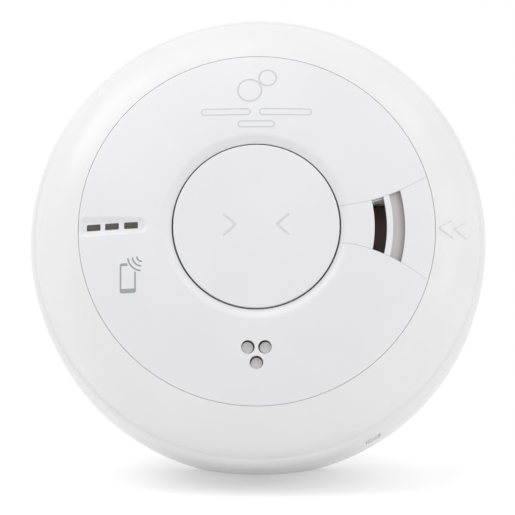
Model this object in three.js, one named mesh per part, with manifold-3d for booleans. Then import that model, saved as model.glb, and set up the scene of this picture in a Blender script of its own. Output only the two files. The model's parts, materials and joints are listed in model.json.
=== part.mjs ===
// Round mains-powered carbon monoxide alarm with a slide-on wall plate, in millimetres.
//
// Every function below works in the alarm's own directions: x to the right and y up on the face,
// z out of the wall, with z = 0 on the wall. The finished group is turned so that the alarm hangs
// upright on a wall: its face looks along -Y, +Z is up, and the wall is the plane Y = 0.

import * as THREE from 'three';
import { mergeVertices } from 'three/addons/utils/BufferGeometryUtils.js';
import Module from 'manifold-3d';

const wasm = await Module();
wasm.setup();

// ---------------------------------------------------------------- driving dimensions

const GAP = 0.3;                 // clearance between pieces that touch
const TURN = 40;                 // sides of the large turned shells
const FINE_TURN = 14;            // sides of screws, holes and small turned pieces

const OUTER_R = 70.5;            // 141 mm across
const DEPTH = 47;                // wall to the crown of the button
const WALL = 2.2;                // moulding thickness of the head

const PLATE_R = 70.1;            // mounting plate
const PLATE_DEPTH = 11.3;
const PLATE_FLOOR = 2.6;
const PLATE_SKIRT = 1.9;

const HEAD_BACK = PLATE_DEPTH + GAP;   // back plane of the head
const LIP_Z = 21.6;              // top of the straight side wall
const CREASE_R = 68.8;           // crease between lip and dome
const CREASE_Z = 25.0;
const PARTING_R = 54.8;          // joint line between dome and face plate
const PARTING_Z = 39.4;
const BROW_R = 29.2;             // highest ring of the face, around the dish
const BROW_Z = 46.0;
const BUTTON_R = 25.45;
const BUTTON_HOLE_R = 25.9;
const BUTTON_EDGE_Z = 45.6;
const DISH_Z = 44.9;             // face height at the button hole
const FACE_WALL = 2.0;

const BOARD_R = 54;
const BOARD_Z = 24;              // underside of the circuit board
const BOARD_T = 1.6;
const ON_BOARD = BOARD_Z + BOARD_T + GAP;

const BLOCK = { x: 13, y: 16.5, top: 19 };       // terminal block, half sizes and height
const WAY_PITCH = 8;             // spacing of the four terminals
const WAYS = [-1.5, -0.5, 0.5, 1.5].map((step) => step * WAY_PITCH);
const PIN_Z = 9;
const PIN_R = 0.9;

const CONTACT_X = -22;           // bend of the contact pins, under the circuit board
const PIN_TIP_X = -1.5;

const CABLE_ENTRY = { x: 28, width: 24, height: 30 };
const SCREW_SLOT = { y: 25.4, length: 11, width: 4.4 };      // one above and one below the block
const SCREW_SEAT = { length: 18, width: 9, rise: 0.6 };      // raised pad around each slot
const SIDE_HOLES = { xs: [-54, 59], r: 2.2 };
const BACK_POCKET = { count: 8, r0: 49.5, r1: 65.5, depth: 0.9 };
const CLAMP_X = 47;              // cord clamp beside the cable entry
const CLAMP_YS = [-8, 8];

const POCKET = { x0: -24.8, x1: 33.5, y: 18.8, top: 21 };   // inside of the rear housing's pocket
const POCKET_WALL = 1.4;

const RAIL_Y = 39;               // inner face of each rail's web
const RAIL_XS = [-44, 29];
const RAIL_LIP = 3;
const RAIL_Z = 8.2;
const FOOT_STARTS = [-24, 12];   // left ends of the runner feet
const FOOT_LENGTH = 14;

const CATCH_ANGLE = THREE.MathUtils.degToRad(-59.8);
const CATCH_PIVOT_R = 48;
const CATCH_END_R = 67.2;
const CATCH_Z = 14;
const CATCH_T = 1.6;
const CATCH_WIDTH = 7;
const RELEASE_SLOT = { width: 5.2, z0: 12.5, z1: 17.7 };
const CATCH_TAB = { width: 4.4, z0: 14.3, z1: 16.4, sunk: 0.05 };   // end of the catch, seen in the slot

const SCREW_ANGLES = [40, 140, 220, 320];
const SCREW_RING_R = 60.3;

const SENSOR = { x: 0, y: -39.5, r: 8 };
const VENT_R = 2.05;
const VENTS = [[-2.6, -37.5], [2.6, -37.5], [0, -42.1]];
const VENT_OFFSET = 0.45;        // how far the upper screen pads sit outside their vents

const FAN = { start: 26, half: 5.8, slope: 0.0954, curve: 0.01157, y: 0.4 };   // outline of the sounder panel
const HORN = { x: 39.6, r: 11.6, wall: 1.3 };
const MOUTH_HALF = 8.3;          // half length of the opening below the inner slot
const SLOTS = [[36.15, 39.9], [41.8, 45.45]];      // inner and outer radius of each sounder slot

const LED_X = [-50, -44.3, -38.4];
const LED_Y = 0.74;
const WINDOW = { w: 4.1, h: 1.85 };

// ---------------------------------------------------------------- solids

// Volume enclosed by the triangles; negative when they are wound inside out.
function signedVolume(positions, triangles) {
  const corner = (i) => new THREE.Vector3().fromArray(positions, 3 * triangles[i]);
  let volume = 0;
  for (let i = 0; i < triangles.length; i += 3) {
    volume += corner(i).dot(corner(i + 1).cross(corner(i + 2))) / 6;
  }
  return volume;
}

function toSolid(geometry) {
  const bare = geometry.clone();
  bare.deleteAttribute('normal');
  bare.deleteAttribute('uv');
  const merged = mergeVertices(bare, 1e-4);
  const positions = merged.attributes.position.array;
  const corners = merged.index.array;
  const triangles = [];
  for (let i = 0; i < corners.length; i += 3) {
    const [a, b, c] = [corners[i], corners[i + 1], corners[i + 2]];
    if (a !== b && b !== c && c !== a) triangles.push(a, b, c);
  }
  if (signedVolume(positions, triangles) < 0) triangles.reverse();
  return new wasm.Manifold(new wasm.Mesh({
    numProp: 3,
    vertProperties: new Float32Array(positions),
    triVerts: new Uint32Array(triangles),
  }));
}

// A solid turned about the z axis; the profile lists [radius, z].
function turned(profile, sides = TURN) {
  const points = profile.map(([r, z]) => new THREE.Vector2(Math.max(r, 0), z));
  if (profile[0][0] > 0) points.push(points[0].clone());
  const geometry = new THREE.LatheGeometry(points, sides).rotateX(Math.PI / 2);
  return toSolid(geometry);
}

function cylinder(x, y, z0, z1, r, sides = FINE_TURN, topR = r) {
  const geometry = new THREE.CylinderGeometry(topR, r, z1 - z0, sides);
  return toSolid(geometry.rotateX(Math.PI / 2).translate(x, y, (z0 + z1) / 2));
}

// A cylinder lying along x.
function crossCylinder(x0, x1, y, z, r, sides = FINE_TURN) {
  const geometry = new THREE.CylinderGeometry(r, r, x1 - x0, sides);
  return toSolid(geometry.rotateZ(Math.PI / 2).translate((x0 + x1) / 2, y, z));
}

function box(x0, x1, y0, y1, z0, z1) {
  const geometry = new THREE.BoxGeometry(x1 - x0, y1 - y0, z1 - z0);
  return toSolid(geometry.translate((x0 + x1) / 2, (y0 + y1) / 2, (z0 + z1) / 2));
}

function prism(shape, z0, z1, curveSegments = 6) {
  const options = { depth: z1 - z0, bevelEnabled: false, curveSegments, steps: 1 };
  return toSolid(new THREE.ExtrudeGeometry(shape, options).translate(0, 0, z0));
}

// A rectangle with round corners, centred on (x, y).
function roundedRect(x, y, width, height, radius) {
  const shape = new THREE.Shape();
  const [w, h] = [width / 2 - radius, height / 2 - radius];
  shape.absarc(x + w, y + h, radius, 0, Math.PI / 2);
  shape.absarc(x - w, y + h, radius, Math.PI / 2, Math.PI);
  shape.absarc(x - w, y - h, radius, Math.PI, 1.5 * Math.PI);
  shape.absarc(x + w, y - h, radius, 1.5 * Math.PI, 2 * Math.PI);
  shape.closePath();
  return shape;
}

function union(parts) {
  return parts.reduce((sum, part) => sum.add(part));
}

function subtractAll(body, cutters) {
  return cutters.reduce((left, cutter) => left.subtract(cutter), body);
}

// A box drawn with x running outwards from the axis, then turned to the given angle.
function radialBox(angle, r0, r1, width, z0, z1) {
  const geometry = new THREE.BoxGeometry(r1 - r0, width, z1 - z0);
  geometry.translate((r0 + r1) / 2, 0, (z0 + z1) / 2).rotateZ(angle);
  return toSolid(geometry);
}

function polar(radius, degrees) {
  const angle = THREE.MathUtils.degToRad(degrees);
  return [radius * Math.cos(angle), radius * Math.sin(angle)];
}

// Points along a cubic curve given by its ends and handles, without the first point.
function curvePoints(p0, p1, p2, p3, count) {
  const corner = ([r, z]) => new THREE.Vector2(r, z);
  const curve = new THREE.CubicBezierCurve(corner(p0), corner(p1), corner(p2), corner(p3));
  return curve.getPoints(count).slice(1).map((p) => [p.x, p.y]);
}

// ---------------------------------------------------------------- outer surface

// Dome of the front housing from the crease up to the joint line, inset by a wall thickness.
function domeProfile(inset, count = 6) {
  const start = [CREASE_R - inset, CREASE_Z - 0.3 * inset];
  const end = [PARTING_R + 0.15, PARTING_Z - inset];
  const lower = [start[0] - 0.9, start[1] + 5.2];
  const upper = [end[0] + 8.2 - 0.5 * inset, end[1] - 3.0];
  return [start, ...curvePoints(start, lower, upper, end, count)];
}

// Top of the face from the joint line in to the button hole, lowered by an inset.
function faceProfile(inset, outerR = PARTING_R - 0.15, innerR = BUTTON_HOLE_R) {
  const edge = [outerR, PARTING_Z - inset];
  const brow = [BROW_R, BROW_Z - inset];
  const slope = curvePoints(edge, [46.5, PARTING_Z + 3 - inset], [38, BROW_Z - 1.1 - inset], brow, 5);
  const dish = [[27.4, BROW_Z - 0.35 - inset], [innerR, DISH_Z - inset]];
  return [edge, ...slope, ...dish];
}

// The whole ring of the face as one shell, from which the face plate and the sounder grille are cut.
function faceShell() {
  const inside = faceProfile(FACE_WALL, PARTING_R - 0.15, BUTTON_HOLE_R).reverse();
  return turned([...faceProfile(0), ...inside]);
}

// Everything that lies above the face once it is lowered by an inset.
function spaceAboveFace(inset) {
  const above = [[BUTTON_HOLE_R, DEPTH + 5], [PARTING_R + 2, DEPTH + 5]];
  return turned([...faceProfile(inset, PARTING_R + 2), ...above]);
}

// Outline of the fan-shaped sounder panel, widening outwards from the button, grown by a margin.
function fanShape(margin) {
  const [x0, x1] = [BUTTON_HOLE_R - 3, PARTING_R + 3];
  const half = (x) => FAN.half + FAN.slope * (x - FAN.start) + FAN.curve * (x - FAN.start) ** 2 + margin;
  const middle = (x0 + x1) / 2;
  const slopeAtStart = FAN.slope + 2 * FAN.curve * (x0 - FAN.start);
  const handle = half(x0) + slopeAtStart * (middle - x0);
  const shape = new THREE.Shape();
  shape.moveTo(x0, FAN.y - half(x0));
  shape.quadraticCurveTo(middle, FAN.y - handle, x1, FAN.y - half(x1));
  shape.lineTo(x1, FAN.y + half(x1));
  shape.quadraticCurveTo(middle, FAN.y + handle, x0, FAN.y + half(x0));
  shape.closePath();
  return shape;
}

function ringSector(r0, r1, z0, z1) {
  return turned([[r0, z0], [r1, z0], [r1, z1], [r0, z1]]);
}

// ---------------------------------------------------------------- mounting plate group

function mountingPlate() {
  const disc = new THREE.Shape();
  disc.absarc(0, 0, PLATE_R - PLATE_SKIRT / 2, 0, 2 * Math.PI);
  const plain = union([prism(disc, 0, PLATE_FLOOR, TURN / 2), ...screwSeats()]);
  const floor = subtractAll(plain, [...platePockets(), ...plateOpenings()]);
  const skirt = ringSector(PLATE_R - PLATE_SKIRT, PLATE_R, 0, PLATE_DEPTH);
  return union([floor, skirt, ...plateRails(), ...clampPosts(), catchRib(), blockWalls()]);
}

// Two rails with lips that the runner feet of the head slide under.
function plateRails() {
  const parts = [];
  for (const side of [-1, 1]) {
    const web = [side * RAIL_Y, side * (RAIL_Y + 2)].sort((a, b) => a - b);
    const lip = [side * (RAIL_Y - RAIL_LIP), side * (RAIL_Y + 2)].sort((a, b) => a - b);
    parts.push(box(...RAIL_XS, ...web, 1, RAIL_Z));
    for (const start of FOOT_STARTS) {
      parts.push(box(start - 1, start + FOOT_LENGTH + 1, ...lip, RAIL_Z - 1.8, RAIL_Z));
    }
  }
  return parts;
}

// Raised pads on which the heads of the two wall screws bear.
function screwSeats() {
  const { length, width, rise } = SCREW_SEAT;
  return [-SCREW_SLOT.y, SCREW_SLOT.y].map((y) => {
    return prism(roundedRect(0, y, length, width, width / 2 - 0.01), 1, PLATE_FLOOR + rise, 4);
  });
}

function clampPosts() {
  return CLAMP_YS.map((y) => cylinder(CLAMP_X, y, 1, 6.4, 3.4).subtract(cylinder(CLAMP_X, y, 3, 8, 1.4)));
}

// Rib that the release catch drops behind.
function catchRib() {
  const [x, y] = [62.5 * Math.cos(CATCH_ANGLE), 62.5 * Math.sin(CATCH_ANGLE)];
  return box(x - 5.6, x - 3.8, y - 3, y + 3, 1, PLATE_DEPTH - GAP);
}

// Low wall around the foot of the terminal block.
function blockWalls() {
  const outer = prism(roundedRect(0, 0, 30, 37, 2), 1, 5, 2);
  return outer.subtract(prism(roundedRect(0, 0, 27, 34, 1), PLATE_FLOOR, 6, 2));
}

// Shallow pockets moulded into the back, leaving a rim, spokes and pads on the wall.
function platePockets() {
  const pockets = [];
  const { count, r0, r1, depth } = BACK_POCKET;
  for (let i = 0; i < count; i += 1) {
    const mid = THREE.MathUtils.degToRad((360 / count) * (i + 0.5));
    const half = THREE.MathUtils.degToRad(19);
    const shape = new THREE.Shape();
    shape.absarc(0, 0, r1, mid - half, mid + half, false);
    shape.absarc(0, 0, r0, mid + half, mid - half, true);
    shape.closePath();
    pockets.push(prism(shape, -1, depth));
  }
  return pockets;
}

function plateOpenings() {
  const through = (shape) => prism(shape, -1, PLATE_FLOOR + 1, 3);
  const { x, width, height } = CABLE_ENTRY;
  const { y, length, width: across } = SCREW_SLOT;
  const slots = [-y, y].map((at) => through(roundedRect(0, at, length, across, across / 2 - 0.01)));
  const holes = SIDE_HOLES.xs.map((at) => cylinder(at, 0, -1, PLATE_FLOOR + 1, SIDE_HOLES.r));
  return [through(roundedRect(x, 0, width, height, 3)), ...slots, ...holes];
}

function terminalBlock() {
  const foot = PLATE_FLOOR + GAP;
  let block = prism(roundedRect(0, 0, 2 * BLOCK.x, 2 * BLOCK.y, 1), foot, BLOCK.top);
  for (const y of WAYS) {
    block = block.subtract(box(-4.5, 4.5, y - 3.2, y + 3.2, PIN_Z - 3.6, PIN_Z + 4.4));
    block = block.subtract(cylinder(0, y, PIN_Z, BLOCK.top + 1, 2.8));
    block = block.subtract(crossCylinder(-BLOCK.x - 1, BLOCK.x + 1, y, PIN_Z, 2.1, 10));
  }
  return block;
}

function terminalClamp(y) {
  const cage = box(-4.2, 4.2, y - 2.9, y + 2.9, PIN_Z - 3.3, PIN_Z + 4.1);
  const wireHole = crossCylinder(-6, 6, y, PIN_Z, 1.9, 10);
  return subtractAll(cage, [wireHole, cylinder(0, y, PIN_Z, PIN_Z + 6, 1.95, 10)]);
}

function slottedScrew(x, y, tipZ, headZ, topZ, shankR, headR) {
  const screw = cylinder(x, y, tipZ, headZ + 0.2, shankR).add(cylinder(x, y, headZ, topZ, headR));
  return screw.subtract(box(x - headR - 1, x + headR + 1, y - 0.4, y + 0.4, topZ - 0.9, topZ + 1));
}

function cableClamp() {
  const bar = prism(roundedRect(CLAMP_X, 0, 7, 24, 2.5), 6.7, 8.9);
  const saddle = crossCylinder(CLAMP_X - 4, CLAMP_X + 4, 0, 5.2, 3.4);
  return subtractAll(bar, [saddle, ...CLAMP_YS.map((y) => cylinder(CLAMP_X, y, 5, 10, 1.7))]);
}

// ---------------------------------------------------------------- head shells

function frontHousing() {
  const innerWall = OUTER_R - WALL;
  const outer = [[innerWall, HEAD_BACK], [OUTER_R, HEAD_BACK], [OUTER_R, LIP_Z - 0.6],
    [OUTER_R - 0.15, LIP_Z + 0.8], [OUTER_R - 0.6, LIP_Z + 2.1], [OUTER_R - 1.2, LIP_Z + 3.0]];
  const ledge = [[PARTING_R + 0.15, 37], [52.4, 37], [52.4, 35.3], [57.4, 35.3]];
  const inner = [[62.3, 32.2], [65.2, 28.4], [66.3, 24.6], [66.9, 22.6], [innerWall, 21]];
  const shell = turned([...outer, ...domeProfile(0), ...ledge, ...inner]);
  const inside = turned([[0, HEAD_BACK], [60, HEAD_BACK], ...domeProfile(0.8), [0, PARTING_Z - 0.8]]);
  const bosses = union(SCREW_ANGLES.map((angle) => {
    return cylinder(...polar(SCREW_RING_R, angle), HEAD_BACK + 2.6, 37, 3.6);
  }));
  const pilots = SCREW_ANGLES.map((angle) => {
    return cylinder(...polar(SCREW_RING_R, angle), HEAD_BACK, 26, 1.8, 12);
  });
  const { width, z0, z1 } = RELEASE_SLOT;
  const releaseSlot = radialBox(CATCH_ANGLE, OUTER_R - 4, OUTER_R + 2, width, z0, z1);
  return subtractAll(shell.add(bosses.intersect(inside)), [...pilots, releaseSlot]);
}

function facePlate() {
  const fan = prism(fanShape(GAP / 2), 30, DEPTH + 1);
  const collar = turned([[22.4, 37], [27.5, 37], [27.5, 44.2], [BUTTON_HOLE_R, 44],
    [BUTTON_HOLE_R, 38.4], [22.4, 38.4]]);
  const collarUnderFan = prism(fanShape(GAP / 2), 42.4, DEPTH + 1);
  const vents = VENTS.map(([x, y]) => cylinder(x, y, 36, DEPTH, VENT_R));
  const windows = LED_X.map((x) => {
    return box(x - WINDOW.w / 2 - GAP, x + WINDOW.w / 2 + GAP,
      LED_Y - WINDOW.h / 2 - GAP, LED_Y + WINDOW.h / 2 + GAP, 30, DEPTH);
  });
  const body = faceShell().subtract(fan).add(collar.subtract(collarUnderFan));
  return subtractAll(body, [ledChannel(), ...vents, ...windows]);
}

// Long recess that holds the three indicator windows, round at its inner end.
function ledChannel() {
  const shape = new THREE.Shape();
  shape.moveTo(-60, LED_Y - 2.2);
  shape.lineTo(-36, LED_Y - 3.1);
  shape.absarc(-36, LED_Y, 3.1, -Math.PI / 2, Math.PI / 2, false);
  shape.lineTo(-60, LED_Y + 2.6);
  shape.closePath();
  return prism(shape, 30, DEPTH + 2, 6).intersect(spaceAboveFace(0.9));
}

// Fan-shaped panel: a top plate with two sounder slots, joined below by a frame.
function sounderGrille() {
  const panel = faceShell().intersect(prism(fanShape(-GAP / 2), 30, DEPTH + 1));
  const slots = SLOTS.map(([r0, r1]) => ringSector(r0, r1, 30, DEPTH + 1));
  const top = subtractAll(panel, slots);
  const lowered = spaceAboveFace(FACE_WALL - 0.2);
  const block = prism(fanShape(-GAP / 2), 38.6, DEPTH).subtract(lowered);
  const reach = ringSector(29.6, 49.6, 30, DEPTH);
  const frame = block.intersect(reach).subtract(prism(fanShape(-1.4), 30, DEPTH));
  return top.add(frame);
}

function rearHousing() {
  const floorTop = HEAD_BACK + 2;
  const rim = OUTER_R - WALL - GAP;
  const disc = new THREE.Shape();
  disc.absarc(0, 0, rim, 0, 2 * Math.PI);
  let shell = prism(disc, HEAD_BACK, floorTop, TURN / 2);
  const { x0, x1, y, top } = POCKET;
  const pocketOutside = box(x0 - POCKET_WALL, x1 + POCKET_WALL, -y - POCKET_WALL, y + POCKET_WALL,
    HEAD_BACK, top + POCKET_WALL);
  shell = union([shell, pocketOutside, ...boardPosts(), ...runners(), ...catchLugs()]);
  const cutters = [box(x0, x1, -y, y, HEAD_BACK - 1, top)];
  for (const angle of SCREW_ANGLES) {
    const [x, cy] = polar(SCREW_RING_R, angle);
    cutters.push(cylinder(x, cy, HEAD_BACK - 1, floorTop + 1, 1.8, 12));
    cutters.push(cylinder(x, cy, HEAD_BACK - 0.2, HEAD_BACK + 1.1, 3.2, FINE_TURN));
  }
  for (const way of WAYS) cutters.push(cylinder(CONTACT_X, way, 12, 26, 1.3, 12));
  cutters.push(radialBox(CATCH_ANGLE, 59, rim + 1, CATCH_WIDTH + 1, HEAD_BACK - 1, floorTop + 0.5));
  return subtractAll(shell, cutters);
}

function boardPosts() {
  return [62, 118, 205, 335].map((angle) => {
    return cylinder(...polar(49, angle), HEAD_BACK + 1, BOARD_Z - GAP, 2.8, 14);
  });
}

// L-shaped feet that reach under the lips of the plate's rails.
function runners() {
  const parts = [];
  for (const side of [-1, 1]) {
    const stem = [side * 33, side * 35.5].sort((a, b) => a - b);
    const foot = [side * 33, side * 38.5].sort((a, b) => a - b);
    for (const start of FOOT_STARTS) {
      parts.push(box(start, start + FOOT_LENGTH, ...stem, 4, HEAD_BACK + 1));
      parts.push(box(start, start + FOOT_LENGTH, ...foot, 4, 5.9));
    }
  }
  return parts;
}

function catchLugs() {
  const side = CATCH_WIDTH / 2 + GAP + 0.9;
  const lug = (offset) => {
    const geometry = new THREE.BoxGeometry(4.4, 1.8, 5);
    geometry.translate(CATCH_PIVOT_R + 0.8, offset, HEAD_BACK + 3.5).rotateZ(CATCH_ANGLE);
    return toSolid(geometry);
  };
  return [lug(-side), lug(side)];
}

// Sprung lever whose tab fills the release slot; its barb stops just above the plate's rib.
function releaseCatch() {
  const lever = radialBox(CATCH_ANGLE, CATCH_PIVOT_R, CATCH_END_R, CATCH_WIDTH, CATCH_Z, CATCH_Z + CATCH_T);
  const barb = radialBox(CATCH_ANGLE, 60.8, 63.6, CATCH_WIDTH - 1, PLATE_DEPTH + 0.1, CATCH_Z + 0.5);
  const lip = radialBox(CATCH_ANGLE, CATCH_END_R - 1.5, CATCH_END_R, CATCH_WIDTH, 12.1, 16.9);
  const { width, z0, z1, sunk } = CATCH_TAB;
  const tab = radialBox(CATCH_ANGLE, CATCH_END_R - 1, OUTER_R - sunk, width, z0, z1);
  return union([lever, barb, lip, tab]);
}

function housingScrew(angle) {
  const [x, y] = polar(SCREW_RING_R, angle);
  const shank = cylinder(x, y, HEAD_BACK + 0.8, 25.5, 1.4, 12);
  const head = cylinder(x, y, HEAD_BACK, HEAD_BACK + 0.9, 2.8, FINE_TURN);
  const slot = box(x - 2, x + 2, y - 0.35, y + 0.35, HEAD_BACK - 1, HEAD_BACK + 0.6);
  return head.add(shank).subtract(slot);
}

// ---------------------------------------------------------------- test button

function testButton() {
  const shell = turned([[0, 45.1], [10, 44.9], [22.6, 43.7], [23.6, 40.3], [BUTTON_R, 40.3],
    [BUTTON_R, BUTTON_EDGE_Z - 0.5], [BUTTON_R - 0.4, BUTTON_EDGE_Z],
    [20, 46.24], [12, 46.7], [5, 46.95], [0, DEPTH]]);
  const stem = cylinder(0, 0, 32.2, 46, 2.6, 16);
  const parts = [shell, stem];
  for (const angle of [30, 150, 270]) {
    const turn = THREE.MathUtils.degToRad(angle);
    parts.push(radialBox(turn, 20.4, 21.9, 5, 35.2, 45));
    parts.push(radialBox(turn, 20.4, 23.4, 5, 35.2, 36.6));
  }
  return union(parts);
}

class CoilCurve extends THREE.Curve {
  constructor(radius, z0, z1, turns) {
    super();
    Object.assign(this, { radius, z0, z1, turns });
  }

  getPoint(t, target = new THREE.Vector3()) {
    const angle = 2 * Math.PI * this.turns * t;
    const z = this.z0 + (this.z1 - this.z0) * t;
    return target.set(this.radius * Math.cos(angle), this.radius * Math.sin(angle), z);
  }
}

function buttonSpring() {
  const wire = new THREE.Shape();
  wire.absarc(0, 0, 0.4, 0, 2 * Math.PI);
  const path = new CoilCurve(6, ON_BOARD + 0.5, 44.2, 5);
  const options = { extrudePath: path, steps: 55, curveSegments: 3, bevelEnabled: false };
  return toSolid(new THREE.ExtrudeGeometry(wire, options));
}

// ---------------------------------------------------------------- indicators

function faceHeight(radius) {
  const points = faceProfile(0);
  const inner = points.findIndex(([r]) => r <= radius);
  const [[r0, z0], [r1, z1]] = [points[inner - 1], points[inner]];
  return z0 + ((radius - r0) / (r1 - r0)) * (z1 - z0);
}

function ledWindow(x) {
  const shape = roundedRect(x, LED_Y, WINDOW.w, WINDOW.h, 0.2);
  return prism(shape, 30, DEPTH, 2).subtract(spaceAboveFace(0.75)).intersect(
    box(x - 3, x + 3, -3, 3, faceHeight(-x) - 3.2, DEPTH));
}

function lightGuide() {
  const bar = box(LED_X[0] - 2, LED_X[2] + 2, LED_Y + 3, LED_Y + 4.2, 29, 33);
  const legs = LED_X.map((x) => {
    const post = box(x - 1.6, x + 1.6, LED_Y - 1, LED_Y + 1, ON_BOARD + 2.1, faceHeight(-x) - 3.6);
    return post.add(box(x - 1.6, x + 1.6, LED_Y, LED_Y + 3.5, 30, 32));
  });
  return union([bar, ...legs]);
}

function led(x) {
  return box(x - 1.6, x + 1.6, LED_Y - 1.1, LED_Y + 1.1, ON_BOARD, ON_BOARD + 1.7);
}

// ---------------------------------------------------------------- electronics

function circuitBoard() {
  const disc = new THREE.Shape();
  disc.absarc(0, 0, BOARD_R, 0, 2 * Math.PI);
  const board = prism(disc, BOARD_Z, BOARD_Z + BOARD_T, TURN / 2);
  const pinHoles = WAYS.map((y) => cylinder(CONTACT_X, y, BOARD_Z - 1, BOARD_Z + 3, 1.25, 12));
  const flat = box(-60, 60, 51, 60, BOARD_Z - 1, BOARD_Z + 3);
  return subtractAll(board, [...pinHoles, flat]);
}

function testSwitch() {
  const base = box(-3, 3, -3, 3, ON_BOARD, ON_BOARD + 3.6);
  return base.add(cylinder(0, 0, ON_BOARD + 3.4, ON_BOARD + 4.4, 1.7, 16));
}

function filmCapacitor() {
  return prism(roundedRect(-33, -25, 18, 8, 0.8), ON_BOARD, ON_BOARD + 11.5, 2);
}

function canCapacitor() {
  const [x, y, r, top] = [24, 33, 5, ON_BOARD + 11];
  const can = cylinder(x, y, ON_BOARD, top - 0.5, r, 24).add(cylinder(x, y, top - 0.5, top, r, 24, r - 0.5));
  return can.subtract(box(x - 4, x + 4, y - 0.25, y + 0.25, top - 0.4, top + 1));
}

function varistor() {
  const disc = new THREE.CylinderGeometry(5.5, 5.5, 3.6, 24).rotateZ(Math.PI / 2).rotateZ(0.5);
  return toSolid(disc.translate(-20, -41, ON_BOARD + 5.7));
}

function choke() {
  const [x, y] = [22, -35];
  const profile = [[0, ON_BOARD], [5.4, ON_BOARD], [5.4, ON_BOARD + 1.2], [4.4, ON_BOARD + 1.2],
    [4.4, ON_BOARD + 6.8], [5.4, ON_BOARD + 6.8], [5.4, ON_BOARD + 8], [0, ON_BOARD + 8]];
  return turned(profile, 24).translate([x, y, 0]);
}

function fuse() {
  return crossCylinder(-42, -32, -11.5, ON_BOARD + 2, 1.8, 16);
}

// ---------------------------------------------------------------- gas sensor and sounder

function sensorCell() {
  const { x, y, r } = SENSOR;
  const can = [[0, ON_BOARD], [r, ON_BOARD], [r, 36.6], [r - 0.6, 37.2], [4.5, 37.2], [4.5, 37.8], [0, 37.8]];
  return turned(can, 32).translate([x, y, 0]);
}

function sensorGasket() {
  const { x, y, r } = SENSOR;
  return turned([[5.2, 37.5], [r - 0.2, 37.5], [r - 0.2, 38.7], [5.2, 38.7]], 32).translate([x, y, 0]);
}

// Filter carrier with one raised pad under each vent.
function sensorScreen() {
  const base = cylinder(SENSOR.x, SENSOR.y, 39, 40, 5.6, 28);
  const pads = VENTS.map(([x, y]) => {
    const padX = x + Math.sign(x) * VENT_OFFSET;
    const top = faceHeight(Math.hypot(x, y) + VENT_R) - FACE_WALL - GAP;
    return cylinder(padX, y, 39.5, top, VENT_R + 0.1);
  });
  return union([base, ...pads]);
}

// Resonator under the grille: a cup open at the back, a mouth below the inner slot and a
// deflector that fills the space behind the outer slot.
function sounderHorn() {
  const { x, r } = HORN;
  const inside = r - HORN.wall;
  const cup = turned([[inside, 26.6], [r, 26.6], [r, 37], [0, 37], [0, 35.6], [inside, 35.6]], 40);
  const deflector = ringSector(41.2, 46, 36.5, DEPTH).intersect(prism(fanShape(-2.2), 30, DEPTH));
  const mouth = ringSector(35.6, 40.1, 30, DEPTH).intersect(box(30, 45, -MOUTH_HALF, MOUTH_HALF, 30, DEPTH));
  const body = cup.translate([x, 0, 0]).add(deflector);
  return subtractAll(body, [mouth, spaceAboveFace(FACE_WALL + GAP)]);
}

// ---------------------------------------------------------------- mains contacts

function contactCarrier() {
  const body = box(CONTACT_X - 2.5, CONTACT_X + 2.5, -15.5, 15.5, 5.6, 12.4);
  const grooves = WAYS.flatMap((y) => [
    crossCylinder(CONTACT_X - 0.4, CONTACT_X + 4, y, PIN_Z, PIN_R + GAP, 8),
    cylinder(CONTACT_X, y, PIN_Z - 1.2, 14, PIN_R + GAP, 8),
  ]);
  return subtractAll(body, grooves);
}

function contactPin(y) {
  const blade = crossCylinder(CONTACT_X, PIN_TIP_X, y, PIN_Z, PIN_R, 8);
  const tail = cylinder(CONTACT_X, y, PIN_Z - PIN_R, BOARD_Z + BOARD_T + 1, PIN_R, 8);
  return blade.add(tail);
}

// ---------------------------------------------------------------- materials and assembly

const COLOURS = {
  face_white: [0xedeef1, 0.34, 0],
  rim_white: [0xeff0ef, 0.38, 0],
  plate_white: [0xe6e7e5, 0.5, 0],
  window_smoke: [0x474642, 0.2, 0],
  clear_guide: [0xdfe6ea, 0.15, 0],
  terminal_grey: [0xb9bcbd, 0.5, 0],
  brass: [0xc9a55a, 0.3, 1],
  steel: [0xb8babd, 0.3, 1],
  board_green: [0x2f6b46, 0.5, 0],
  black_plastic: [0x232323, 0.5, 0],
  cap_yellow: [0xd9b23c, 0.5, 0],
  varistor_blue: [0x2f5fa8, 0.5, 0],
  horn_grey: [0xbdb9ba, 0.5, 0],
  filter_grey: [0xaca7a9, 0.8, 0],
  rubber: [0x2b2b2b, 0.9, 0],
  ceramic: [0xe9e4d8, 0.5, 0],
  piezo_brown: [0x3a2c24, 0.5, 0],
  led_lens: [0xf2efe2, 0.3, 0],
};

const assembly = new THREE.Group();

function addPiece(name, solid, colour) {
  const mesh = solid.getMesh();
  const geometry = new THREE.BufferGeometry();
  geometry.setAttribute('position', new THREE.BufferAttribute(new Float32Array(mesh.vertProperties), 3));
  geometry.setIndex(new THREE.BufferAttribute(new Uint32Array(mesh.triVerts), 1));
  geometry.computeVertexNormals();
  const [hex, roughness, metalness] = COLOURS[colour];
  const material = new THREE.MeshStandardMaterial({ color: hex, roughness, metalness });
  const piece = new THREE.Mesh(geometry, material);
  piece.name = name;
  assembly.add(piece);
}

addPiece('mounting_plate', mountingPlate(), 'plate_white');
addPiece('terminal_block', terminalBlock(), 'terminal_grey');
WAYS.forEach((y, i) => {
  addPiece(`terminal_clamp_${i + 1}`, terminalClamp(y), 'brass');
  addPiece(`terminal_screw_${i + 1}`, slottedScrew(0, y, PIN_Z + 2.2, 14.6, 16.6, 1.6, 2.4), 'steel');
});
addPiece('cable_clamp', cableClamp(), 'terminal_grey');
CLAMP_YS.forEach((y, i) => {
  addPiece(`cable_clamp_screw_${i + 1}`, slottedScrew(CLAMP_X, y, 3.5, 9.2, 11, 1.1, 2.5), 'steel');
});

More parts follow.
